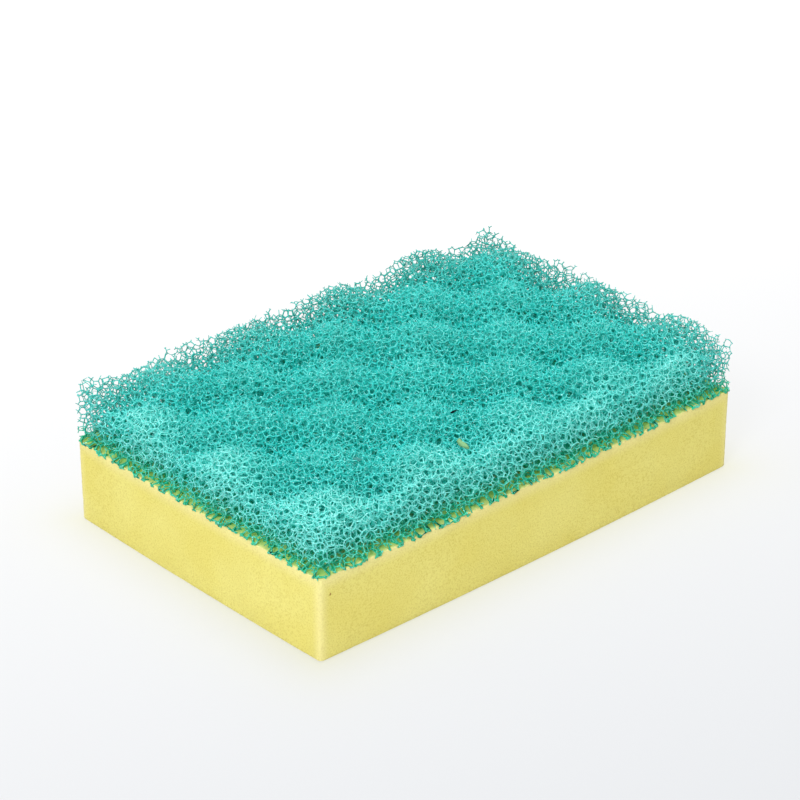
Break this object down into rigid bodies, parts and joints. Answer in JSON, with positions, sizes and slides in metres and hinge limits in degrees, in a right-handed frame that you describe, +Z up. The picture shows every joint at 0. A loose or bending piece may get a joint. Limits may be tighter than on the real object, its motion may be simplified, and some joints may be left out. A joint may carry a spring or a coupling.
{
  "type": "cleaning sponge",
  "caption": "Rectangular cleaning sponge: a fine yellow foam block bonded to a coarse open-cell teal scouring layer with an egg-crate top.",
  "frame": {"origin": "middle of the resting face, at the base", "axes": "+X along the length, +Y across the width, +Z up through the foam block to the scouring layer"},
  "size_m": [0.15, 0.098, 0.0424],
  "materials": {
    "yellow_foam": "matt fine-pored soft foam",
    "teal_mesh": "satin open-cell foam of fine struts"
  },
  "bodies": {
    "root": {"foam_block": "yellow_foam", "scrub_layer": "teal_mesh"}
  },
  "joints": []
}
